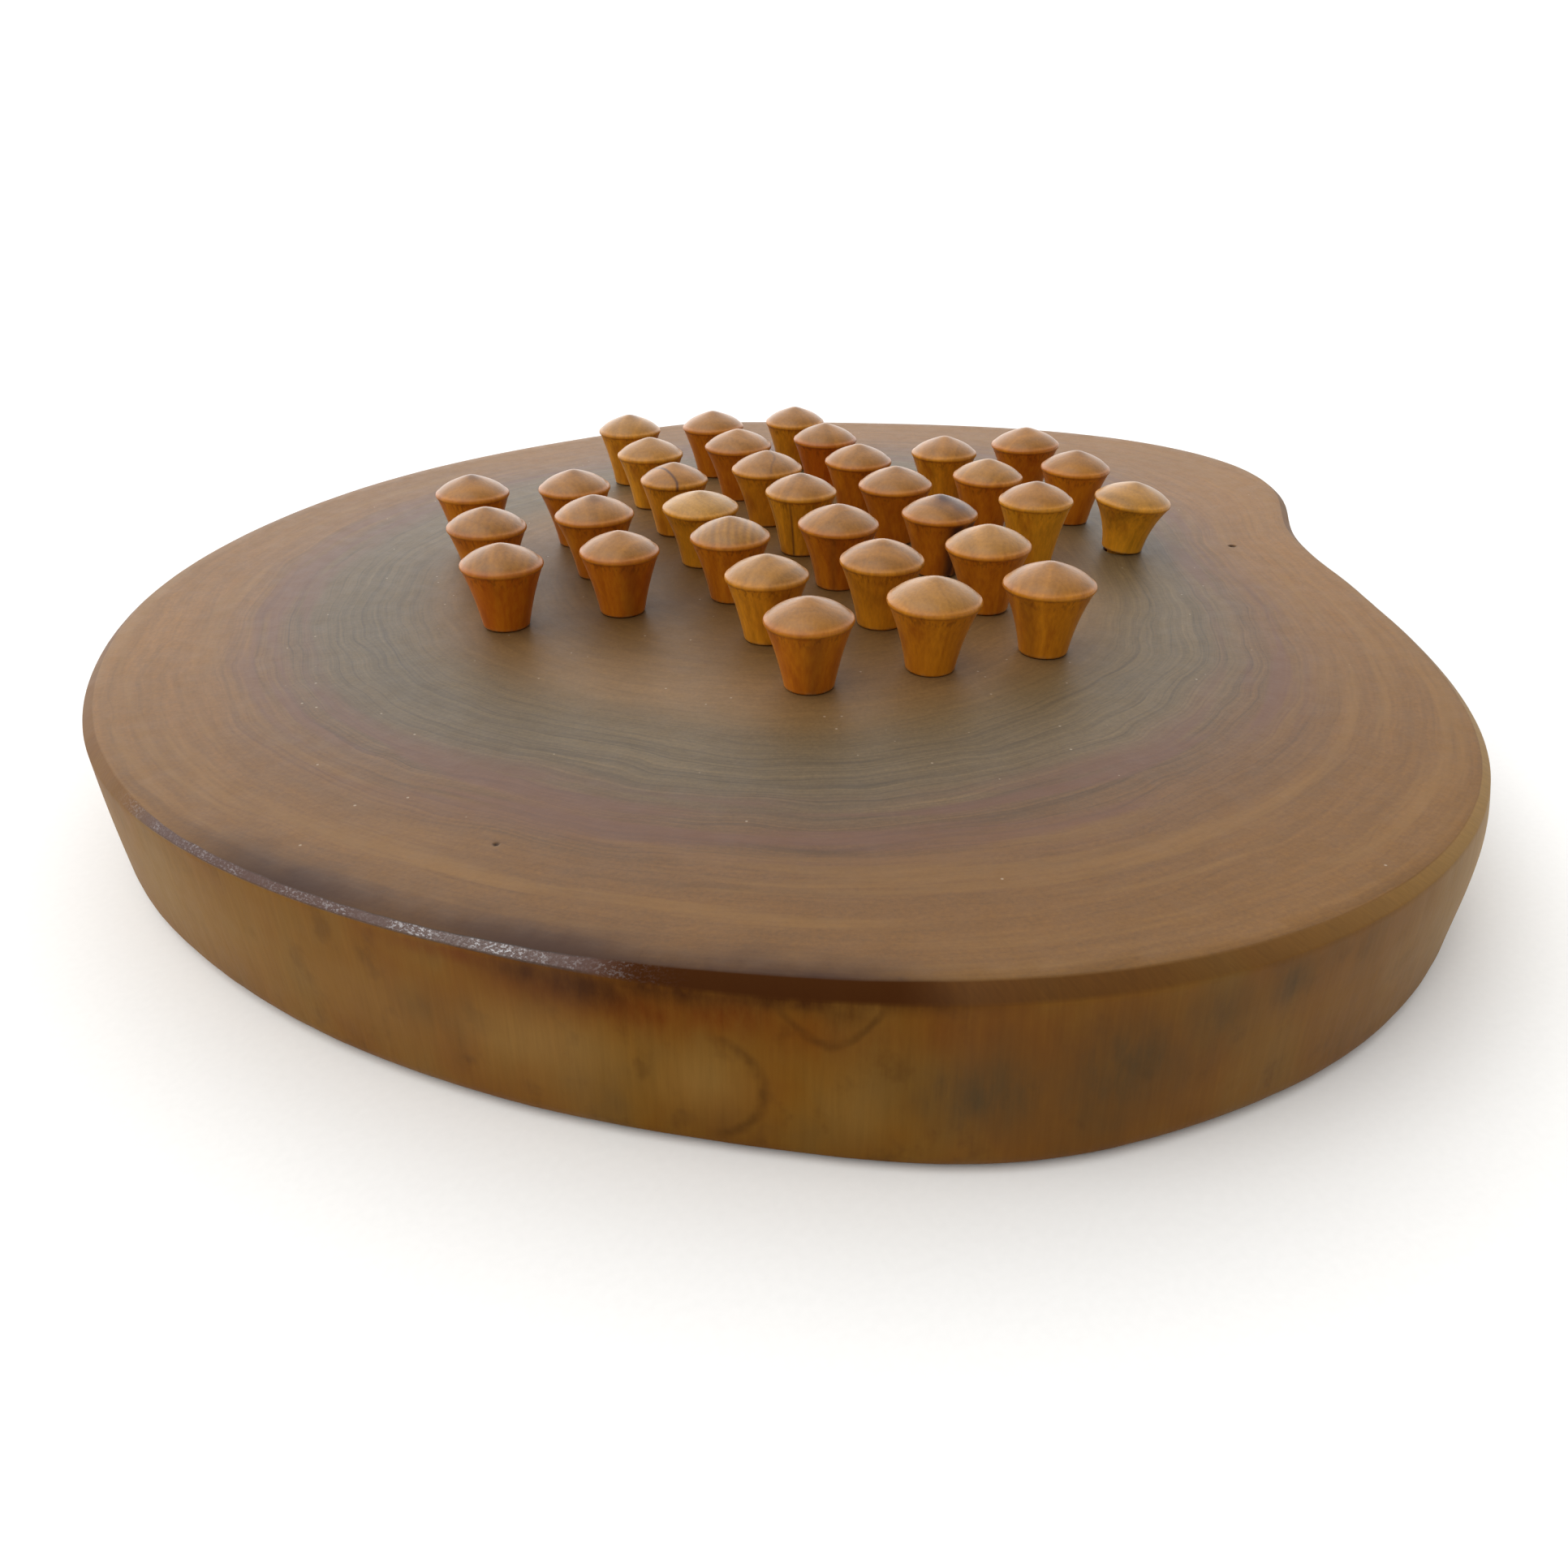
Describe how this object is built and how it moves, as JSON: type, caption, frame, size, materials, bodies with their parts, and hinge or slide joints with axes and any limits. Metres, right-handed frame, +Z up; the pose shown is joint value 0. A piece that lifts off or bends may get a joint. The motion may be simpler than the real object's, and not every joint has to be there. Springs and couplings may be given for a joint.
{
  "type": "peg solitaire board",
  "caption": "Slice of a tree trunk as a peg solitaire board, with a cross of holes and a loose turned mushroom-capped peg in each.",
  "frame": {"origin": "on the board's underside, straight below the middle hole of the cross", "axes": "+Z up out of the playing face, +X along the rows of holes to the player's right, +Y along the columns away from the player"},
  "size_m": [0.272, 0.2772, 0.0429],
  "materials": {
    "board_wood": "satin lacquer, end grain on top",
    "peg_wood": "satin lacquer, turned"
  },
  "bodies": {
    "board": {"board": "board_wood"},
    "peg_c1": {"peg_c1": "peg_wood"},
    "peg_d1": {"peg_d1": "peg_wood"},
    "peg_e1": {"peg_e1": "peg_wood"},
    "peg_c2": {"peg_c2": "peg_wood"},
    "peg_d2": {"peg_d2": "peg_wood"},
    "peg_e2": {"peg_e2": "peg_wood"},
    "peg_a3": {"peg_a3": "peg_wood"},
    "peg_b3": {"peg_b3": "peg_wood"},
    "peg_c3": {"peg_c3": "peg_wood"},
    "peg_d3": {"peg_d3": "peg_wood"},
    "peg_e3": {"peg_e3": "peg_wood"},
    "peg_f3": {"peg_f3": "peg_wood"},
    "peg_g3": {"peg_g3": "peg_wood"},
    "peg_a4": {"peg_a4": "peg_wood"},
    "peg_b4": {"peg_b4": "peg_wood"},
    "peg_c4": {"peg_c4": "peg_wood"},
    "peg_d4": {"peg_d4": "peg_wood"},
    "peg_e4": {"peg_e4": "peg_wood"},
    "peg_f4": {"peg_f4": "peg_wood"},
    "peg_g4": {"peg_g4": "peg_wood"},
    "peg_a5": {"peg_a5": "peg_wood"},
    "peg_b5": {"peg_b5": "peg_wood"},
    "peg_c5": {"peg_c5": "peg_wood"},
    "peg_d5": {"peg_d5": "peg_wood"},
    "peg_e5": {"peg_e5": "peg_wood"},
    "peg_f5": {"peg_f5": "peg_wood"},
    "peg_g5": {"peg_g5": "peg_wood"},
    "peg_c6": {"peg_c6": "peg_wood"},
    "peg_d6": {"peg_d6": "peg_wood"},
    "peg_e6": {"peg_e6": "peg_wood"},
    "peg_c7": {"peg_c7": "peg_wood"},
    "peg_d7": {"peg_d7": "peg_wood"},
    "peg_e7": {"peg_e7": "peg_wood"}
  },
  "joints": [
    {"name": "peg_c1_lift", "type": "slide", "parent": "board", "child": "peg_c1", "axis": [0, 0, 1], "range_m": [0, 0.04]},
    {"name": "peg_d1_lift", "type": "slide", "parent": "board", "child": "peg_d1", "axis": [0, 0, 1], "range_m": [0, 0.04]},
    {"name": "peg_e1_lift", "type": "slide", "parent": "board", "child": "peg_e1", "axis": [0, 0, 1], "range_m": [0, 0.04]},
    {"name": "peg_c2_lift", "type": "slide", "parent": "board", "child": "peg_c2", "axis": [0, 0, 1], "range_m": [0, 0.04]},
    {"name": "peg_d2_lift", "type": "slide", "parent": "board", "child": "peg_d2", "axis": [0, 0, 1], "range_m": [0, 0.04]},
    {"name": "peg_e2_lift", "type": "slide", "parent": "board", "child": "peg_e2", "axis": [0, 0, 1], "range_m": [0, 0.04]},
    {"name": "peg_a3_lift", "type": "slide", "parent": "board", "child": "peg_a3", "axis": [0, 0, 1], "range_m": [0, 0.04]},
    {"name": "peg_b3_lift", "type": "slide", "parent": "board", "child": "peg_b3", "axis": [0, 0, 1], "range_m": [0, 0.04]},
    {"name": "peg_c3_lift", "type": "slide", "parent": "board", "child": "peg_c3", "axis": [0, 0, 1], "range_m": [0, 0.04]},
    {"name": "peg_d3_lift", "type": "slide", "parent": "board", "child": "peg_d3", "axis": [0, 0, 1], "range_m": [0, 0.04]},
    {"name": "peg_e3_lift", "type": "slide", "parent": "board", "child": "peg_e3", "axis": [0, 0, 1], "range_m": [0, 0.04]},
    {"name": "peg_f3_lift", "type": "slide", "parent": "board", "child": "peg_f3", "axis": [0, 0, 1], "range_m": [0, 0.04]},
    {"name": "peg_g3_lift", "type": "slide", "parent": "board", "child": "peg_g3", "axis": [0, 0, 1], "range_m": [0, 0.04]},
    {"name": "peg_a4_lift", "type": "slide", "parent": "board", "child": "peg_a4", "axis": [0, 0, 1], "range_m": [0, 0.04]},
    {"name": "peg_b4_lift", "type": "slide", "parent": "board", "child": "peg_b4", "axis": [0, 0, 1], "range_m": [0, 0.04]},
    {"name": "peg_c4_lift", "type": "slide", "parent": "board", "child": "peg_c4", "axis": [0, 0, 1], "range_m": [0, 0.04]},
    {"name": "peg_d4_lift", "type": "slide", "parent": "board", "child": "peg_d4", "axis": [0, 0, 1], "range_m": [0, 0.04]},
    {"name": "peg_e4_lift", "type": "slide", "parent": "board", "child": "peg_e4", "axis": [0, 0, 1], "range_m": [0, 0.04]},
    {"name": "peg_f4_lift", "type": "slide", "parent": "board", "child": "peg_f4", "axis": [0, 0, 1], "range_m": [0, 0.04]},
    {"name": "peg_g4_lift", "type": "slide", "parent": "board", "child": "peg_g4", "axis": [0, 0, 1], "range_m": [0, 0.04]},
    {"name": "peg_a5_lift", "type": "slide", "parent": "board", "child": "peg_a5", "axis": [0, 0, 1], "range_m": [0, 0.04]},
    {"name": "peg_b5_lift", "type": "slide", "parent": "board", "child": "peg_b5", "axis": [0, 0, 1], "range_m": [0, 0.04]},
    {"name": "peg_c5_lift", "type": "slide", "parent": "board", "child": "peg_c5", "axis": [0, 0, 1], "range_m": [0, 0.04]},
    {"name": "peg_d5_lift", "type": "slide", "parent": "board", "child": "peg_d5", "axis": [0, 0, 1], "range_m": [0, 0.04]},
    {"name": "peg_e5_lift", "type": "slide", "parent": "board", "child": "peg_e5", "axis": [0, 0, 1], "range_m": [0, 0.04]},
    {"name": "peg_f5_lift", "type": "slide", "parent": "board", "child": "peg_f5", "axis": [0, 0, 1], "range_m": [0, 0.04]},
    {"name": "peg_g5_lift", "type": "slide", "parent": "board", "child": "peg_g5", "axis": [0, 0, 1], "range_m": [0, 0.04]},
    {"name": "peg_c6_lift", "type": "slide", "parent": "board", "child": "peg_c6", "axis": [0, 0, 1], "range_m": [0, 0.04]},
    {"name": "peg_d6_lift", "type": "slide", "parent": "board", "child": "peg_d6", "axis": [0, 0, 1], "range_m": [0, 0.04]},
    {"name": "peg_e6_lift", "type": "slide", "parent": "board", "child": "peg_e6", "axis": [0, 0, 1], "range_m": [0, 0.04]},
    {"name": "peg_c7_lift", "type": "slide", "parent": "board", "child": "peg_c7", "axis": [0, 0, 1], "range_m": [0, 0.04]},
    {"name": "peg_d7_lift", "type": "slide", "parent": "board", "child": "peg_d7", "axis": [0, 0, 1], "range_m": [0, 0.04]},
    {"name": "peg_e7_lift", "type": "slide", "parent": "board", "child": "peg_e7", "axis": [0, 0, 1], "range_m": [0, 0.04]}
  ]
}
